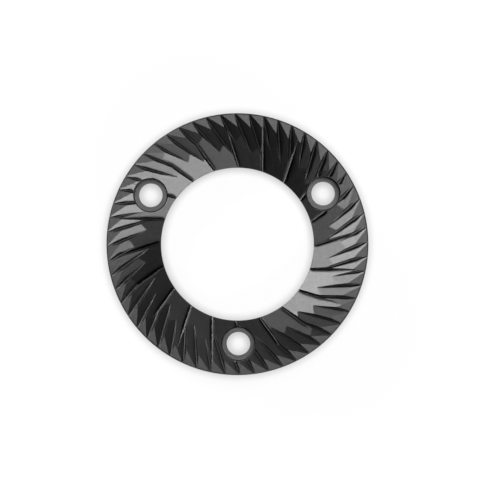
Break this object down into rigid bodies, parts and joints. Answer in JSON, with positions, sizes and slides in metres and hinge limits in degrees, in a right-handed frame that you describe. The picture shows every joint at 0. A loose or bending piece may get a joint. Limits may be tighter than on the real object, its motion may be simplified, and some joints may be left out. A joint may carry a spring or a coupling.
{
  "type": "coffee grinder burr",
  "caption": "Flat ring burr for a coffee grinder: dark steel disc with fine slanted teeth at the rim, coarse breaker teeth inside, a wide centre bore and counterbored screw holes.",
  "frame": {"origin": "centre of the flat back face, on the axis of the ring", "axes": "+Z along the axis, out of the toothed face; one screw hole lies on -Y, the others at 30 and 150 degrees from +X"},
  "size_m": [0.064, 0.064, 0.009],
  "materials": {
    "coated_steel": "ground and hardened tool steel with a thin dark hard coating, satin"
  },
  "bodies": {
    "root": {"burr": "coated_steel"}
  },
  "joints": []
}
